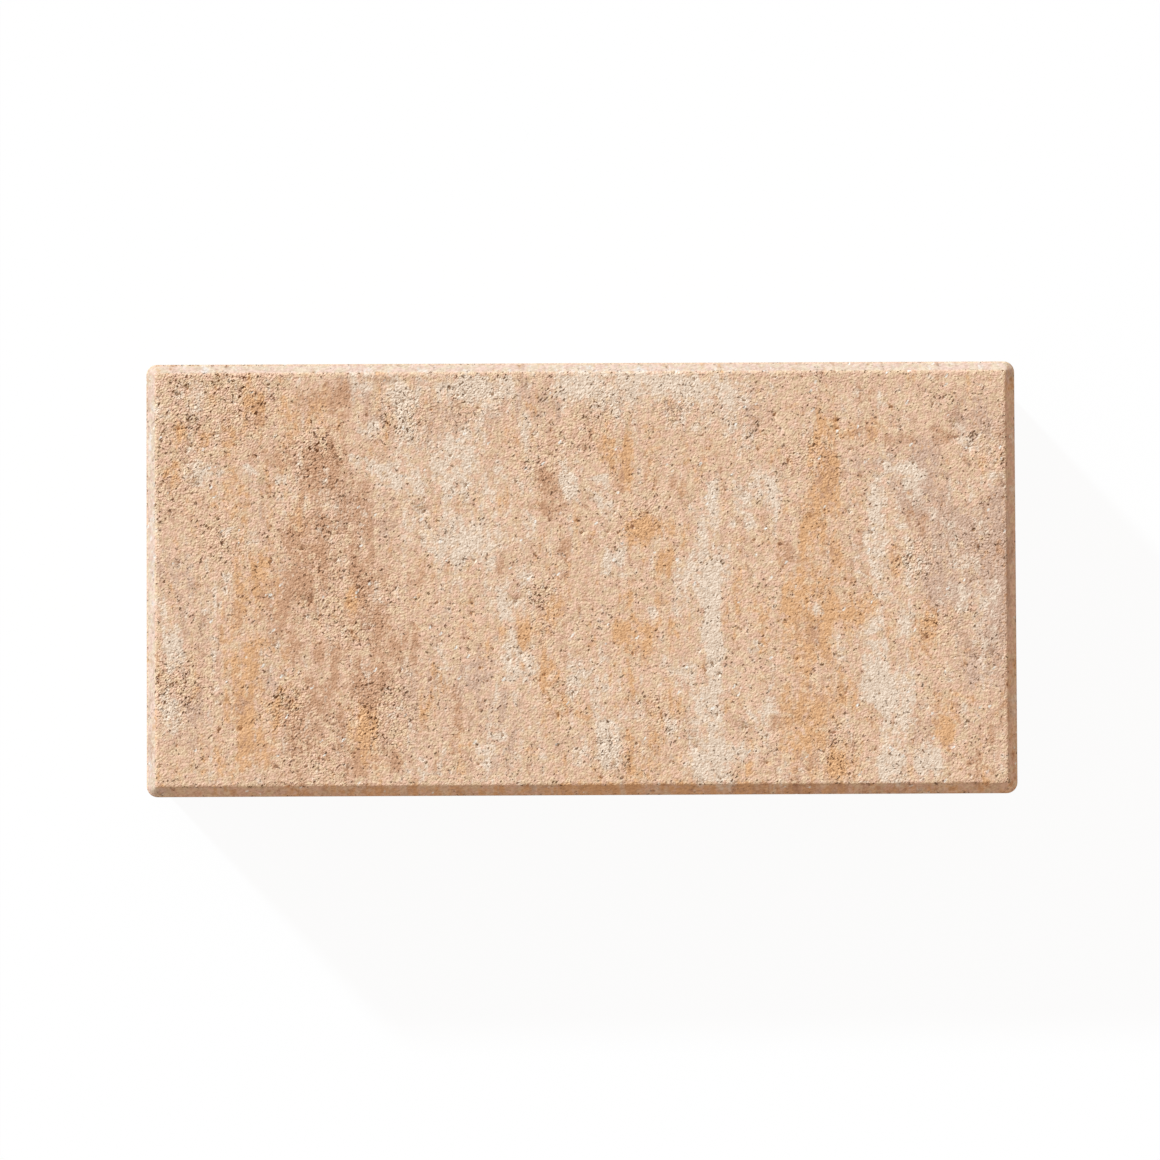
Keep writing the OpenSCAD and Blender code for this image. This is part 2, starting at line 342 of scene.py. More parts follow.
class StageSettings(bpy.types.PropertyGroup):
    """Camera, lamp and floor."""

    camera_height: FloatProperty(
        name="Camera height", description="Height of the camera above the floor",
        default=2.0, unit="LENGTH",
    )
    camera_aside: FloatProperty(
        name="Camera aside", description="Place of the camera along the stone",
        default=-13.0 * MM, unit="LENGTH",
    )
    camera_back: FloatProperty(
        name="Camera back", description="Place of the camera across the stone",
        default=-66.9 * MM, unit="LENGTH",
    )
    tilt: angle("Tilt", 1.975, "How far the camera leans back from straight down")
    lean: angle("Lean", -0.357, "How far the camera leans sideways")
    roll: angle("Roll", -0.269, "Turn of the camera about its line of sight")
    lens: FloatProperty(
        name="Lens", description="Focal length in millimetres on the sensor", default=130.63,
    )
    key_elevation: angle("Key elevation", 26, "Height of the key lamp above the horizon")
    key_bearing: angle("Key bearing", 133, "Bearing of the key lamp, from +X towards +Y")
    key_share: portion("Key share", 0.52, "Share of a level face's light that comes from the key lamp")
    key_width: angle("Key width", 4, "Angle across the key lamp, seen from the stone")
    key_colour: FloatVectorProperty(
        name="Key colour", description="Colour of the key lamp, slightly cool",
        default=(0.835, 1.0, 1.125), subtype="COLOR", size=3, min=0, soft_max=1.2,
    )
    ambient_colour: FloatVectorProperty(
        name="Ambient colour", description="Colour of the surrounding light, slightly warm",
        default=(1.179, 1.0, 0.865), subtype="COLOR", size=3, min=0, soft_max=1.2,
    )
    floor_shadow: portion(
        "Floor shadow", 0.06, "Share of the floor's white that shadows can take away",
    )


def put(tree, kind, sockets=None, **settings):
    """Adds a node with these settings, and links or fills its inputs."""
    made = tree.nodes.new(kind)
    for name, value in settings.items():
        setattr(made, name, value)
    for key, value in (sockets or {}).items():
        if isinstance(value, bpy.types.NodeSocket):
            tree.links.new(value, made.inputs[key])
        else:
            made.inputs[key].default_value = value
    return made


def sums(tree, operation, *values):
    """A Math node's result."""
    return put(tree, "ShaderNodeMath", dict(enumerate(values)), operation=operation).outputs[0]


def product(tree, first, *others):
    """These values multiplied together."""
    for other in others:
        first = sums(tree, "MULTIPLY", first, other)
    return first


def swayed(tree, value, cloud, strength):
    """The value moved up and down by how far a cloud is from its middle."""
    return sums(tree, "MULTIPLY_ADD", sums(tree, "SUBTRACT", cloud, 0.5), strength, value)


def vector(tree, operation, *values, **named_values):
    """A Vector Math node's vector, or its number for a dot product."""
    sockets = {**dict(enumerate(values)), **named_values}
    made = put(tree, "ShaderNodeVectorMath", sockets, operation=operation)
    return made.outputs["Value" if operation == "DOT_PRODUCT" else "Vector"]


def ramp(tree, value, low, high, low_value=0.0, high_value=1.0):
    """A smooth step from low_value to high_value while value goes from low to high."""
    sockets = {"Value": value, "From Min": low, "From Max": high,
               "To Min": low_value, "To Max": high_value}
    return put(tree, "ShaderNodeMapRange", sockets, interpolation_type="SMOOTHSTEP").outputs[0]


def noise(tree, where, size, detail=2.0, roughness=0.5, output="Fac"):
    """Noise whose blobs are about size metres across."""
    count = 1 / size if isinstance(size, float) else sums(tree, "DIVIDE", 1.0, size)
    sockets = {"Vector": where, "Scale": count, "Detail": detail, "Roughness": roughness}
    made = put(tree, "ShaderNodeTexNoise", sockets, noise_dimensions="3D")
    return made.outputs[output]


def cells(tree, where, size):
    """Cells about size metres across: the distance to each one's middle, and a colour for each."""
    sockets = {"Vector": where, "Scale": sums(tree, "DIVIDE", 1.0, size)}
    return put(tree, "ShaderNodeTexVoronoi", sockets).outputs


def blend(tree, factor, first, second, mode="MIX"):
    """A colour mix's result."""
    sockets = {0: factor, 6: first, 7: second}
    return put(tree, "ShaderNodeMix", sockets, data_type="RGBA", blend_type=mode).outputs[2]


def cleared(owner):
    """The node tree of a material or a world, emptied."""
    owner.use_nodes = True
    owner.node_tree.nodes.clear()
    return owner.node_tree


def lay_out(tree, column=220, row=180):
    """Places the nodes in columns, each to the right of what feeds it."""
    depth = {}

    def reach(made):
        if made.name not in depth:
            feeders = {l.from_node for s in made.inputs for l in s.links}
            depth[made.name] = 1 + max((reach(f) for f in feeders), default=-1)
        return depth[made.name]

    used = {}
    for made in tree.nodes:
        step = reach(made)
        used[step] = used.get(step, 0) + 1
        made.location = (step * column, -used[step] * row)


def new_group(name, kind, inputs, outputs):
    """An empty node group with these sockets, and its input and output nodes."""
    tree = bpy.data.node_groups.new(name, kind)
    for label, socket, default in inputs:
        made = tree.interface.new_socket(label, in_out="INPUT", socket_type="NodeSocket" + socket)
        if default is not None:
            made.default_value = default
    for label, socket in outputs:
        tree.interface.new_socket(label, in_out="OUTPUT", socket_type="NodeSocket" + socket)
    return tree, tree.nodes.new("NodeGroupInput").outputs, tree.nodes.new("NodeGroupOutput")


def close_group(tree, result, **outputs):
    """Links a node group's results to its output node, and lays the nodes out."""
    for label, value in outputs.items():
        tree.links.new(value, result.inputs[label])
    lay_out(tree)
    return tree


def set_inputs(modifier, values):
    """Sets a Geometry Nodes modifier's inputs, each by its socket's identifier."""
    for item in modifier.node_group.interface.items_tree:
        if item.item_type == "SOCKET" and item.in_out == "INPUT" and item.name in values:
            modifier[item.identifier] = values[item.name]


def new_object(name, data):
    """An object at the origin, in the scene."""
    made = bpy.data.objects.new(name, data)
    bpy.context.scene.collection.objects.link(made)
    return made


def plain_block():
    """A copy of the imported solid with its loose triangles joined."""
    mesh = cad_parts[NODE].data.copy()
    mesh.materials.clear()
    work = bmesh.new()
    work.from_mesh(mesh)
    bmesh.ops.remove_doubles(work, verts=work.verts, dist=0.001 * MM)
    work.to_mesh(mesh)
    work.free()
    return new_object("plain_block", mesh)


def placed(mesh):
    """The mesh's points as rows of x, y and z."""
    flat = np.empty(len(mesh.vertices) * 3, np.float32)
    mesh.vertices.foreach_get("co", flat)
    return flat.reshape(-1, 3)


def store(mesh, name, values):
    """Stores one number on each of the mesh's points."""
    made = mesh.attributes.new(name, "FLOAT", "POINT")
    made.data.foreach_set("value", values.astype(np.float32))


def soft_step(value, low, high):
    """A smooth step from 0 to 1 while value goes from low to high."""
    step = np.clip((value - low) / (high - low), 0, 1)
    return step * step * (3 - 2 * step)


def depths(points):
    """How far each point lies below the plain block's side, top, chamfer and bedding face."""
    out_x = np.abs(points[:, 0]) - (HALF_LENGTH - CORNER)
    out_y = np.abs(points[:, 1]) - (HALF_WIDTH - CORNER)
    beyond = np.hypot(np.clip(out_x, 0, None), np.clip(out_y, 0, None))
    side = CORNER - beyond - np.clip(np.maximum(out_x, out_y), None, 0)
    top = HEIGHT - points[:, 2]
    return side, top, (side + top - CHAMFER) / math.sqrt(2), points[:, 2]


def roughness(points):
    """How rough the pressed face is at each point, from 0 to 1, and less than 0 below it."""
    side, top, chamfer, _ = depths(points)
    rough = np.zeros(len(points))
    for zone in ROUGH_ZONES:
        away = np.hypot(points[:, 0] - zone.x * MM, points[:, 1] - zone.y * MM) / (zone.reach * MM)
        rough = rough + zone.chance * (1 - soft_step(away, *ZONE_FADE))
    rough = rough + ARRIS_ROUGHNESS * (1 - soft_step(chamfer, 0.5 * MM, 2.5 * MM))
    rough = np.clip(rough, 0, 1) * (1 - CHAMFER_CALM * on_chamfer(side, top, chamfer))
    return np.where(top < CHAMFER, rough, SIDE_ROUGHNESS)


def on_chamfer(side, top, chamfer):
    """1 on the chamfer and 0 on the faces beside it."""
    return soft_step(np.minimum(side, top), 0.3 * MM, 1.2 * MM) * (chamfer < 1.5 * MM)


def named(tree, name, kind="FLOAT"):
    """The field of a named attribute."""
    made = put(tree, "GeometryNodeInputNamedAttribute", {"Name": name}, data_type=kind)
    return made.outputs["Attribute"]


def sample(tree, points, field, index, kind="FLOAT"):
    """A field's value at one of the points."""
    sockets = {"Geometry": points, "Value": field, "Index": index}
    return put(tree, "GeometryNodeSampleIndex", sockets, data_type=kind).outputs["Value"]


def nearest(tree, points, where):
    """The number of the point nearest to each place."""
    sockets = {"Geometry": points, "Sample Position": where}
    return put(tree, "GeometryNodeSampleNearest", sockets).outputs["Index"]


def pore_group():
    """Geometry Nodes: sows pores on the block's faces, thickest where the face is rough."""
    tree, given, result = new_group(
        "Sown pores", "GeometryNodeTree",
        [("Block", "Geometry", None), ("Fine mesh", "Geometry", None),
         ("Density", "Float", 60000.0), ("Chance", "Float", 0.05),
         ("Smallest", "Float", 0.0006), ("Largest", "Float", 0.0015), ("Seed", "Int", 0)],
        [("Points", "Geometry")],
    )
    place = put(tree, "GeometryNodeInputPosition").outputs[0]
    sockets = {"Mesh": given["Block"], "Density": given["Density"], "Seed": given["Seed"]}
    sown = put(tree, "GeometryNodeDistributePointsOnFaces", sockets).outputs["Points"]

    there = nearest(tree, given["Fine mesh"], place)
    rough = sample(tree, given["Fine mesh"], named(tree, "rough"), there)
    clusters = ramp(tree, noise(tree, place, 11 * MM, 3.0, 0.6), 0.42, 0.66, 0.2, 1.8)
    likely = product(tree, sums(tree, "MULTIPLY_ADD", rough, 0.3, given["Chance"]), clusters)

    draw = put(tree, "FunctionNodeRandomValue", {"Seed": sums(tree, "ADD", given["Seed"], 1.0)})
    missed = put(tree, "FunctionNodeCompare", {0: draw.outputs[1], 1: likely},
                 operation="GREATER_THAN").outputs[0]
    kept = put(tree, "GeometryNodeDeleteGeometry", {"Geometry": sown, "Selection": missed})

    size = put(tree, "FunctionNodeRandomValue", {"Seed": sums(tree, "ADD", given["Seed"], 2.0)})
    rare = sums(tree, "POWER", size.outputs[1], 3.0)
    spread = sums(tree, "SUBTRACT", given["Largest"], given["Smallest"])
    radius = sums(tree, "MULTIPLY_ADD", spread, rare, given["Smallest"])
    sockets = {"Geometry": kept.outputs[0], "Name": "radius", "Value": radius}
    sized = put(tree, "GeometryNodeStoreNamedAttribute", sockets, data_type="FLOAT", domain="POINT")

    sockets = {0: (-1, -1, -1), 1: (1, 1, 1), "Seed": sums(tree, "ADD", given["Seed"], 3.0)}
    aim = put(tree, "FunctionNodeRandomValue", sockets, data_type="FLOAT_VECTOR")
    axis = vector(tree, "NORMALIZE", aim.outputs[0])
    sockets = {"Geometry": sized.outputs[0], "Name": "axis", "Value": axis}
    aimed = put(tree, "GeometryNodeStoreNamedAttribute", sockets, data_type="FLOAT_VECTOR",
                domain="POINT")
    return close_group(tree, result, Points=aimed.outputs[0])


def crevices(tree, place, rough, size, share, width, detail=1.5, growth=0.06):
    """Gaps between grains, from 0 to 1, which take a larger share where it is rough."""
    cloud = noise(tree, place, size, detail, 0.6)
    start = sums(tree, "MULTIPLY_ADD", rough, -growth, share)
    start = swayed(tree, start, noise(tree, place, 12 * MM), -0.15)
    return ramp(tree, cloud, start, sums(tree, "ADD", start, width))


def relief_group():
    """Geometry Nodes: presses pores, crevices, drag marks and worn edges into the mesh."""
    tree, given, result = new_group(
        "Pressed relief", "GeometryNodeTree",
        [("Geometry", "Geometry", None), ("Plain block", "Object", None),
         ("Pore density", "Float", 60000.0), ("Pore chance", "Float", 0.05),
         ("Smallest pore", "Float", 0.0006), ("Largest pore", "Float", 0.0015),
         ("Pore steepness", "Float", 0.8), ("Crevice size", "Float", 0.0026),
         ("Crevice depth", "Float", 0.0), ("Drag marks", "Float", 0.0), ("Crumble", "Float", 0.0),
         ("Seed", "Int", 0), ("Material", "Material", None)],
        [("Geometry", "Geometry")],
    )
    place = put(tree, "GeometryNodeInputPosition").outputs[0]
    normal = put(tree, "GeometryNodeInputNormal").outputs[0]
    rough = named(tree, "rough")
    up = put(tree, "ShaderNodeSeparateXYZ", {0: normal}).outputs["Z"]
    height = put(tree, "ShaderNodeSeparateXYZ", {0: place}).outputs["Z"]
    flank = ramp(tree, sums(tree, "ABSOLUTE", up), 0.1, 0.5, 1.0, 0.0)

    block = put(tree, "GeometryNodeObjectInfo", {"Object": given["Plain block"]})
    points = put(tree, "GeometryNodeGroup", {
        "Block": block.outputs["Geometry"], "Fine mesh": given["Geometry"],
        "Density": given["Pore density"], "Chance": given["Pore chance"],
        "Smallest": given["Smallest pore"], "Largest": given["Largest pore"],
        "Seed": given["Seed"],
    }, node_tree=pore_group()).outputs["Points"]

    # A pore's outline wanders between the grains, and most are longer than wide
    wander = vector(tree, "SUBTRACT", noise(tree, place, 1.4 * MM, 2.0, 0.6, "Color"),
                    (0.5, 0.5, 0.5))
    near = vector(tree, "ADD", place, vector(tree, "SCALE", wander, Scale=2.4 * MM))
    which = nearest(tree, points, near)
    middle = sample(tree, points, place, which, "FLOAT_VECTOR")
    radius = sample(tree, points, named(tree, "radius"), which)
    axis = sample(tree, points, named(tree, "axis", "FLOAT_VECTOR"), which, "FLOAT_VECTOR")
    away = vector(tree, "SUBTRACT", near, middle)
    along = vector(tree, "DOT_PRODUCT", away, axis)
    squeezed = product(tree, along, along, -0.65)
    reach = sums(tree, "ADD", vector(tree, "DOT_PRODUCT", away, away), squeezed)
    reach = sums(tree, "DIVIDE", sums(tree, "SQRT", reach), radius)
    bowl = ramp(tree, reach, 0.55, 1.0, 1.0, 0.0)
    pore = product(tree, bowl, radius, given["Pore steepness"])

    gap = crevices(tree, place, rough, given["Crevice size"], 0.69, 0.05)
    gap = product(tree, gap, ramp(tree, up, 0.2, 0.6), given["Crevice depth"])
    gap = sums(tree, "MAXIMUM", gap, pore)

    # The mould drags upright marks into the sides, and crumbs break off along the bottom edge
    stretched = vector(tree, "MULTIPLY", place, (1.0, 1.0, 0.06))
    scores = ramp(tree, noise(tree, stretched, 4 * MM, 0.0), 0.76, 0.9)
    scores = product(tree, scores, flank, given["Drag marks"])
    low = ramp(tree, height, 0.0, 2.5 * MM, 1.0, 0.0)
    chips = ramp(tree, noise(tree, place, 6 * MM, 1.0, 0.5), 0.62, 0.76)
    chips = product(tree, chips, low, given["Crumble"], flank)

    depth = INSET
    for part in (gap, scores, chips):
        depth = sums(tree, "ADD", part, depth)
    inwards = vector(tree, "SCALE", normal, Scale=sums(tree, "MULTIPLY", depth, -1.0))
    moved = put(tree, "GeometryNodeSetPosition", {"Geometry": given["Geometry"], "Offset": inwards})
    whole = put(tree, "GeometryNodeRealizeInstances", {"Geometry": moved.outputs[0]})
    sockets = {"Geometry": whole.outputs[0], "Material": given["Material"]}
    finished = put(tree, "GeometryNodeSetMaterial", sockets)
    return close_group(tree, result, Geometry=finished.outputs[0])


def keep_inside(mesh):
    """Pulls back the few points that thinning has pushed out of the plain block's box."""
    skin = 0.01 * MM
    points = np.clip(placed(mesh), np.array(CAD_LOW) + skin, np.array(CAD_HIGH) - skin)
    mesh.vertices.foreach_set("co", points.astype(np.float32).ravel())
    mesh.update()


def flame_amount(flames, x, y):
    """The pigment that these flames lay at each place, given in millimetres."""
    total = np.zeros_like(x)
    for flame in flames:
        out = np.hypot((x - flame.x) / flame.half_x, (y - flame.y) / flame.half_y)
        total = total + flame.amount * (1 - soft_step(out, *FLAME_FADE))
    return total


def paint(mesh):
    """Stores the pigments, how rough each point is and how far it lies below the plain block."""
    points = placed(mesh)
    x, y = points[:, 0] / MM, points[:, 1] / MM
    kinds = (OCHRE_FLAMES, UMBER_FLAMES, MAUVE_FLAMES, CREAM_FLAMES)
    amounts = np.stack([flame_amount(flames, x, y) for flames in kinds], axis=1)
    flames = mesh.attributes.new("flames", "FLOAT_COLOR", "POINT")
    flames.data.foreach_set("color", amounts.astype(np.float32).ravel())
    side, top, chamfer, bed = depths(points)
    hollow = np.clip(np.minimum(np.minimum(side, top), np.minimum(chamfer, bed)), 0, None)
    store(mesh, "hollow", hollow / MM)
    flank = soft_step(top, CHAMFER, CHAMFER + 2 * MM) * (side < 3 * MM)
    store(mesh, "flank", flank)
    store(mesh, "chamfer", on_chamfer(side, top, chamfer))
    # Marks the far chamfer and the left one, which face the key lamp, for painted light
    left = -x - (HALF_LENGTH - HALF_WIDTH) / MM
    store(mesh, "lit_chamfer", soft_step(np.maximum(y, left), *LIT_CHAMFER_FADE))
    # The pores needed less than no roughness on the sides, and the looks need none
    rough = np.where(top < CHAMFER, roughness(points), 0.0)
    if "rough" in mesh.attributes:
        mesh.attributes.remove(mesh.attributes["rough"])
    store(mesh, "rough", rough)


def sand_group():
    """Shader nodes: the height of sand grains and of the gaps between them, and their tints."""
    tree, given, result = new_group(
        "Sand grain", "ShaderNodeTree",
        [("Vector", "Vector", None), ("Rough", "Float", 0.0),
         ("Grain", "Float", 0.0015), ("Grain height", "Float", 0.0),
         ("Gap size", "Float", 0.0017), ("Gap depth", "Float", 0.0),
         ("Pit size", "Float", 0.0024), ("Pit depth", "Float", 0.0),
         ("Fleck size", "Float", 0.0007)],
        [("Height", "Float"), ("Tint", "Float"), ("Gap", "Float"), ("Speck", "Float")],
    )
    where, rough, grain = given["Vector"], given["Rough"], given["Grain"]
    soft = noise(tree, where, grain, 1.0)
    shift = product(tree, soft, grain)
    bend = put(tree, "ShaderNodeCombineXYZ", {0: shift, 1: shift}).outputs[0]
    round_grains = cells(tree, vector(tree, "ADD", where, bend), grain)
    height = sums(tree, "SUBTRACT", soft, product(tree, round_grains["Distance"], 0.5))
    height = product(tree, height, given["Grain height"])

    # Finer grains lean one way, and here and there one has fallen out
    turned = put(tree, "ShaderNodeVectorRotate", {"Vector": where, "Angle": GRAIN_LEAN},
                 rotation_type="Z_AXIS").outputs[0]
    leaning = vector(tree, "MULTIPLY", turned, (0.5, 1.0, 1.0))
    fine = cells(tree, leaning, given["Fleck size"])
    hue = put(tree, "ShaderNodeSeparateColor", {0: fine["Color"]}).outputs
    clump = noise(tree, where, 11 * MM, 3.0)
    lot = sums(tree, "MULTIPLY_ADD", rough, 0.12, swayed(tree, hue[0], clump, 0.75))
    away = sums(tree, "MULTIPLY_ADD", rough, -0.35, fine["Distance"])
    fleck = product(tree, ramp(tree, lot, 1.03, 1.04), ramp(tree, away, 0.35, 0.6, 1.0, 0.0))
    height = sums(tree, "SUBTRACT", height, product(tree, fleck, FLECK_DEPTH))
    gap = crevices(tree, where, rough, given["Gap size"], 0.645, 0.03, 3.0, 0.08)
    height = sums(tree, "SUBTRACT", height, product(tree, gap, given["Gap depth"]))

    # Larger ones are left open as pits, most of them in rough parts, or are pale stones
    stones = cells(tree, vector(tree, "ADD", leaning, bend), given["Pit size"])
    rare = put(tree, "ShaderNodeSeparateColor", {0: stones["Color"]}).outputs
    lot = sums(tree, "MULTIPLY_ADD", rough, 0.4, swayed(tree, rare[0], clump, 0.5))
    away = swayed(tree, stones["Distance"], soft, 0.6)
    pit = product(tree, ramp(tree, lot, 1.01, 1.03), ramp(tree, away, 0.2, 0.34, 1.0, 0.0))
    height = sums(tree, "SUBTRACT", height, product(tree, pit, given["Pit depth"]))
    open_places = sums(tree, "MAXIMUM", sums(tree, "MAXIMUM", fleck, pit), gap)
    pale = product(tree, ramp(tree, rare[1], 0.985, 0.99), ramp(tree, away, 0.3, 0.5, 1.0, 0.0))
    return close_group(tree, result, Height=height, Gap=open_places, Tint=hue[1], Speck=pale)


def mottle_group():
    """Shader nodes: two clouds, long across the stone and down its sides, that break up flames."""
    tree, given, result = new_group(
        "Mottle", "ShaderNodeTree",
        [("Vector", "Vector", None)],
        [("Cloud", "Float"), ("Second cloud", "Float"), ("Crumb", "Float")],
    )
    long = vector(tree, "MULTIPLY", given["Vector"], (1.0, 0.25, 0.25))
    moved = vector(tree, "ADD", long, (3.1, 1.7, 0.9))
    return close_group(tree, result, **{
        "Cloud": noise(tree, long, 6 * MM, 3.0, 0.65),
        "Second cloud": noise(tree, moved, 5 * MM, 3.0, 0.65),
        "Crumb": noise(tree, given["Vector"], 4 * MM, 4.0, 0.65),
    })


def dyed(tree, colour, tint):
    """The colour multiplied by a tint."""
    return blend(tree, 1.0, colour, tint, "MULTIPLY")


def concrete_material(settings):
    """Sandy concrete with flames of four pigments, pale grains, and painted shade in its pores and gaps.
    """
    material = bpy.data.materials.new("flamed_concrete")
    tree = cleared(material)
    where = put(tree, "ShaderNodeTexCoord").outputs["Object"]
    painted = put(tree, "ShaderNodeAttribute", attribute_name="flames").outputs
    parts = put(tree, "ShaderNodeSeparateColor", {0: painted["Color"]}).outputs
    rough, hollow, flank, chamfer, lit_chamfer = (
        put(tree, "ShaderNodeAttribute", attribute_name=name).outputs["Fac"]
        for name in ("rough", "hollow", "flank", "chamfer", "lit_chamfer")
    )
    mottle = put(tree, "ShaderNodeGroup", {"Vector": where}, node_tree=mottle_group()).outputs
    calm = ramp(tree, chamfer, 0.0, 1.0, 1.0, 0.15)
    coarse = product(tree, calm, sums(tree, "MULTIPLY_ADD", rough, 3.2, 1.0))
    sand = put(tree, "ShaderNodeGroup", {
        "Vector": where, "Rough": rough, "Grain": settings.grain,
        "Grain height": product(tree, coarse, settings.grain_height),
        "Gap size": settings.gap_size, "Gap depth": product(tree, calm, settings.gap_depth),
        "Pit size": settings.pit_size, "Pit depth": product(tree, calm, settings.pit_depth),
        "Fleck size": settings.fleck_size,
    }, node_tree=sand_group()).outputs
    crumb = noise(tree, where, 3.2 * MM, 2.0, 0.6)

    warm = ramp(tree, mottle["Crumb"], 0.4, 0.6)
    colour = blend(tree, warm, linear(settings.sand), linear(settings.blush))
    for amount, cloud, pigment in (
        (parts[2], mottle["Second cloud"], settings.mauve),
        (parts[0], mottle["Cloud"], settings.ochre),
        (parts[1], mottle["Second cloud"], settings.umber),
        (painted["Alpha"], sums(tree, "SUBTRACT", 1.0, mottle["Cloud"]), settings.cream),
    ):
        # A flame's edge is broken up by a cloud and by crumbs of sand
        amount = swayed(tree, swayed(tree, amount, cloud, 2.3), crumb, 1.9)
        colour = blend(tree, ramp(tree, amount, 0.15, 0.8), colour, linear(pigment))

    # Between their pits rough parts get lighter and a little warmer; the lightening is painted light
    # that makes up for the shade of their deeper relief
    colour = blend(tree, rough, colour, dyed(tree, colour, ROUGH_WARMTH_AND_PAINTED_LIGHT))
    # Painted light: the chamfers facing the key lamp get a cooler, greyer copy of the colour, the ones
    # in its shade a slightly cooler one
    edge = blend(tree, lit_chamfer, dyed(tree, colour, SHADED_CHAMFER_PAINT), dyed(tree, colour, LIT_CHAMFER_PAINT))
    colour = blend(tree, chamfer, colour, edge)
    colour = blend(tree, sand["Speck"], colour, linear(settings.pebble))
    # Pale grains are whiter and dark ones browner than the sand around them
    tints = [ramp(tree, sand["Tint"], 0.0, 1.0, *span) for span in GRAIN_SPANS]
    tint = put(tree, "ShaderNodeCombineColor", dict(enumerate(tints))).outputs[0]
    colour = dyed(tree, colour, tint)
    # Painted shade: points deep below the plain block, and the gaps, pits and flecks between grains, are
    # darkened with a brown where the relief's shade falls
    painted_gap_shade = product(tree, sand["Gap"], calm, ramp(tree, rough, 0.0, 0.6, 0.8, 1.0))
    dark = sums(tree, "MAXIMUM", ramp(tree, hollow, 0.45, 1.0, 0.0, 0.35), painted_gap_shade)
    colour = blend(tree, dark, colour, dyed(tree, colour, linear(settings.pore_shade_brown)))

    drag = noise(tree, vector(tree, "MULTIPLY", where, (1.0, 1.0, 0.12)), 0.9 * MM, 3.0, 0.6)
    height = sums(tree, "MULTIPLY_ADD", product(tree, drag, flank), DRAG_HEIGHT, sand["Height"])
    bump = put(tree, "ShaderNodeBump", {"Height": height, "Distance": 1.0})
    shader = put(tree, "ShaderNodeBsdfPrincipled", {
        "Base Color": colour, "Roughness": ramp(tree, sand["Tint"], 0.0, 1.0, 0.8, 0.92),
        "Normal": bump.outputs[0], "Specular IOR Level": 0.15,
    })
    put(tree, "ShaderNodeOutputMaterial", {"Surface": shader.outputs[0]})
    lay_out(tree)
    return material


def finished_mesh(worked, name):
    """The worked object's evaluated shape as a plain mesh."""
    depsgraph = bpy.context.evaluated_depsgraph_get()
    mesh = bpy.data.meshes.new_from_object(worked.evaluated_get(depsgraph), depsgraph=depsgraph)
    mesh.name = name
    return mesh


def thinned(mesh, triangles, name):
    """The mesh with its even parts thinned out, down to this many triangles."""
    # Thinning can't tell pores from even faces in metres, so it sees them in millimetres
    mesh.transform(Matrix.Scale(1 / MM, 4))
    work = new_object("thinned_block", mesh)
    thin = work.modifiers.new("Thinned", "DECIMATE")
    thin.ratio = triangles / sum(len(face.vertices) - 2 for face in mesh.polygons)
    thin.use_collapse_triangulate = True
    result = finished_mesh(work, name)
    bpy.data.objects.remove(work)
    result.transform(Matrix.Scale(MM, 4))
    return result


class PAVING_OT_stone(bpy.types.Operator):
    """Presses the stone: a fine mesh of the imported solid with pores, drag marks and pigment"""

    bl_idname = "paving.stone"
    bl_label = "Press the stone"

    def execute(self, context):
        relief = context.scene.paving_relief
        block = plain_block()
        worked = new_object("worked_block", block.data.copy())
        fine = worked.modifiers.new("Fine mesh", "REMESH")
        fine.mode = "VOXEL"
        fine.voxel_size = relief.cell
        worked.data = finished_mesh(worked, "fine_block")
        worked.modifiers.clear()
        if len(worked.data.polygons) < relief.triangles / 2:
            raise RuntimeError("the fine mesh came out too coarse")
        store(worked.data, "rough", roughness(placed(worked.data)))

        pressed = worked.modifiers.new("Relief", "NODES")
        pressed.node_group = relief_group()
        set_inputs(pressed, {
            "Plain block": block,
            "Pore density": relief.pore_density, "Pore chance": relief.pore_chance,
            "Smallest pore": relief.pore_least, "Largest pore": relief.pore_most,
            "Pore steepness": relief.pore_steepness,
            "Crevice size": relief.crevice_size, "Crevice depth": relief.crevice_depth,
            "Drag marks": relief.drag, "Crumble": relief.crumble, "Seed": relief.seed,
            "Material": concrete_material(context.scene.paving_concrete),
        })
        mesh = thinned(finished_mesh(worked, "pressed_block"), relief.triangles, "pressed_stone")
        for spent in (worked, block):
            bpy.data.objects.remove(spent)
        keep_inside(mesh)
        mesh.shade_smooth()
        paint(mesh)
        stone = new_object("pressed_stone", mesh)
        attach(stone, BODY)
        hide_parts(NODE)
        return {"FINISHED"}


def seen_ray(tree):
    """1 for the camera's rays, also mirrored or through glass, and 0 for others."""
    path = put(tree, "ShaderNodeLightPath").outputs
    turned = sums(tree, "MAXIMUM", path["Is Glossy Ray"], path["Is Transmission Ray"])
    return sums(tree, "MAXIMUM", path["Is Camera Ray"], turned)


def floor_material(shadow_share):
    """White to the camera but for the stone's shadow, and grey to the light that bounces off."""
    material = bpy.data.materials.new("pale_floor")
    tree = cleared(material)
    lit = put(tree, "ShaderNodeBsdfDiffuse", {"Color": (shadow_share,) * 3 + (1.0,)})
    glow = put(tree, "ShaderNodeEmission", {"Color": WHITE, "Strength": 1.0 - shadow_share})
    shown = put(tree, "ShaderNodeAddShader", {0: lit.outputs[0], 1: glow.outputs[0]})
    bounced = put(tree, "ShaderNodeBsdfDiffuse", {"Color": (FLOOR_BOUNCE,) * 3 + (1.0,)})
    sockets = {0: seen_ray(tree), 1: bounced.outputs[0], 2: shown.outputs[0]}
    surface = put(tree, "ShaderNodeMixShader", sockets)
    put(tree, "ShaderNodeOutputMaterial", {"Surface": surface.outputs[0]})
    lay_out(tree)
    return material


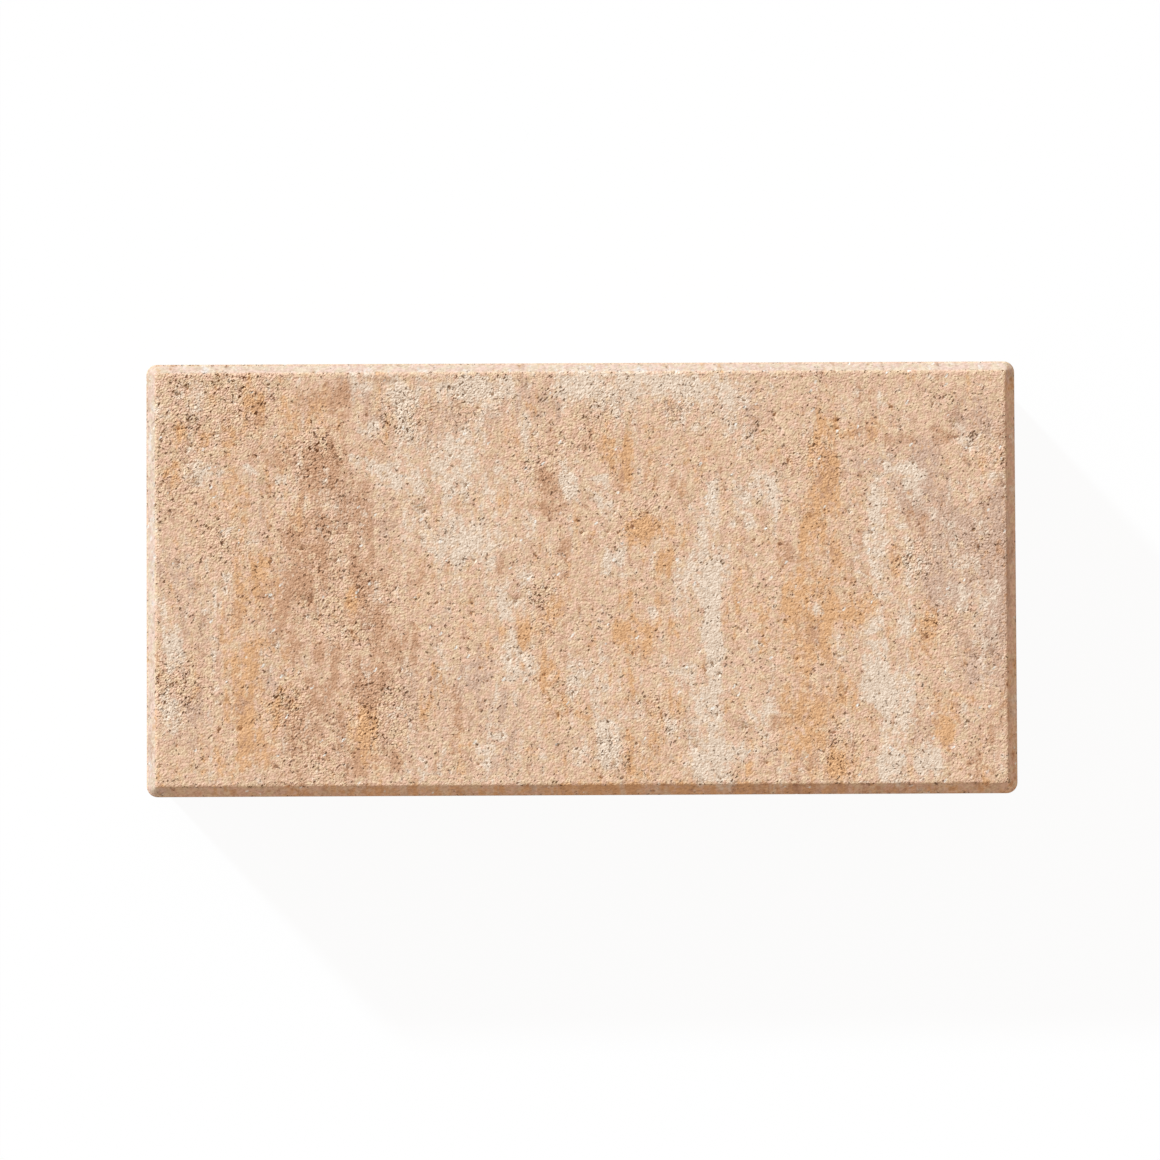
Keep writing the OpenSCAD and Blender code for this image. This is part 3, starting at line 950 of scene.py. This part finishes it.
def lay_floor(settings):
    """Lays the level floor that the stone stands on."""
    sides = ((-1, -1), (1, -1), (1, 1), (-1, 1))
    mesh = bpy.data.meshes.new("floor")
    mesh.from_pydata([(x * FLOOR_REACH, y * FLOOR_REACH, 0) for x, y in sides], [], [(0, 1, 2, 3)])
    mesh.materials.append(floor_material(settings.floor_shadow))
    new_object("floor", mesh)


def hang_lamp(settings):
    """Sets the key lamp, which gives its share of a level face's light."""
    lamp = bpy.data.lights.new("key", "SUN")
    lamp.energy = math.pi * settings.key_share / math.sin(settings.key_elevation)
    lamp.angle = settings.key_width
    lamp.color = settings.key_colour
    right_angle = math.pi / 2
    key = new_object("key", lamp)
    key.rotation_euler = (right_angle - settings.key_elevation, 0, settings.key_bearing + right_angle)


def surround(settings):
    """Sets an even light from all round, which the camera sees as white."""
    world = bpy.data.worlds.new("studio")
    tree = cleared(world)
    ambient = 1.0 - settings.key_share
    seen = seen_ray(tree)
    strength = sums(tree, "MULTIPLY_ADD", seen, 1.0 - ambient, ambient)
    tinted = blend(tree, seen, (*settings.ambient_colour, 1.0), WHITE)
    light = put(tree, "ShaderNodeBackground", {"Color": tinted, "Strength": strength})
    put(tree, "ShaderNodeOutputWorld", {"Surface": light.outputs[0]})
    lay_out(tree)
    bpy.context.scene.world = world


def aim_camera(settings):
    """Sets the camera where the photo was taken from."""
    view = bpy.data.cameras.new("camera")
    view.lens = settings.lens
    view.sensor_width = SENSOR_WIDTH
    view.clip_end = SIGHT
    camera = new_object("camera", view)
    camera.location = (settings.camera_aside, settings.camera_back, settings.camera_height)
    camera.rotation_euler = (settings.tilt, settings.lean, settings.roll)
    bpy.context.scene.camera = camera


class PAVING_OT_stage(bpy.types.Operator):
    """Lays the floor and sets the lamp, the surrounding light and the camera"""

    bl_idname = "paving.stage"
    bl_label = "Set the stage"

    def execute(self, context):
        for step in (lay_floor, hang_lamp, surround, aim_camera):
            step(context.scene.paving_stage)
        context.scene.view_settings.view_transform = "Standard"
        return {"FINISHED"}


class PAVING_PT_panel(bpy.types.Panel):
    """The stone's settings and steps"""

    bl_idname = "PAVING_PT_panel"
    bl_label = "Paving stone"
    bl_space_type = "VIEW_3D"
    bl_region_type = "UI"
    bl_category = "Paving"

    def draw(self, context):
        layout = self.layout
        for title, owner, operator in (
            ("Relief", context.scene.paving_relief, None),
            ("Concrete", context.scene.paving_concrete, PAVING_OT_stone.bl_idname),
            ("Stage", context.scene.paving_stage, PAVING_OT_stage.bl_idname),
        ):
            box = layout.box()
            box.label(text=title)
            for name in owner.bl_rna.properties.keys():
                if name not in {"rna_type", "name"}:
                    box.prop(owner, name)
            if operator:
                box.operator(operator)


CLASSES = (
    ReliefSettings, ConcreteSettings, StageSettings,
    PAVING_OT_stone, PAVING_OT_stage, PAVING_PT_panel,
)


def register():
    for each in CLASSES:
        bpy.utils.register_class(each)
    bpy.types.Scene.paving_relief = PointerProperty(type=ReliefSettings)
    bpy.types.Scene.paving_concrete = PointerProperty(type=ConcreteSettings)
    bpy.types.Scene.paving_stage = PointerProperty(type=StageSettings)


def unregister():
    del bpy.types.Scene.paving_relief
    del bpy.types.Scene.paving_concrete
    del bpy.types.Scene.paving_stage
    for each in reversed(CLASSES):
        bpy.utils.unregister_class(each)


def main():
    register()
    bpy.ops.paving.stage()
    bpy.ops.paving.stone()


if __name__ == "__main__":
    main()
